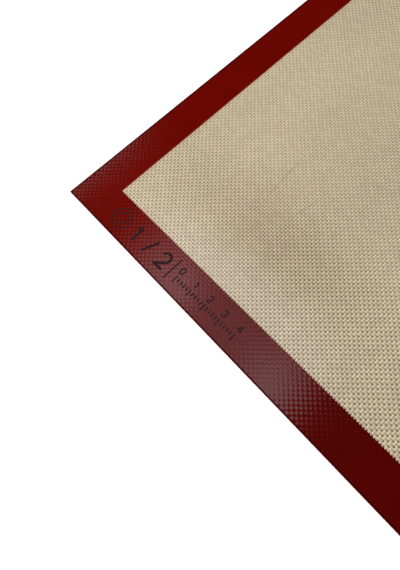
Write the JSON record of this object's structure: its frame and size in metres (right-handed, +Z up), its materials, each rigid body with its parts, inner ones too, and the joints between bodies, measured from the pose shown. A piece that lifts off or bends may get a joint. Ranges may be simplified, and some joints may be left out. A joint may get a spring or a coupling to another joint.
{
  "type": "silicone baking mat",
  "caption": "Flat rectangular baking mat: woven glass cloth between two silicone coats, with a red silicone border and printed scale.",
  "frame": {"origin": "middle of the underside, on the surface that the mat lies on", "axes": "+X along the long side, +Y along the short side away from the printed border, +Z up out of the baking side"},
  "size_m": [0.42, 0.295, 0.0008],
  "materials": {
    "glass_cloth": "plain woven glass yarn",
    "cream_silicone": "satin, follows the weave below",
    "red_silicone": "semi-gloss, follows the weave below",
    "print_ink": "satin silicone ink"
  },
  "bodies": {
    "root": {"glass_cloth": "glass_cloth", "upper_silicone_coat": "cream_silicone", "lower_silicone_coat": "cream_silicone", "upper_border": "red_silicone", "lower_border": "red_silicone", "edge_seal": "red_silicone", "circle_mark": "print_ink", "size_numbers": "print_ink", "divider_bar": "print_ink", "scale_ticks": "print_ink", "scale_numbers": "print_ink"}
  },
  "joints": []
}
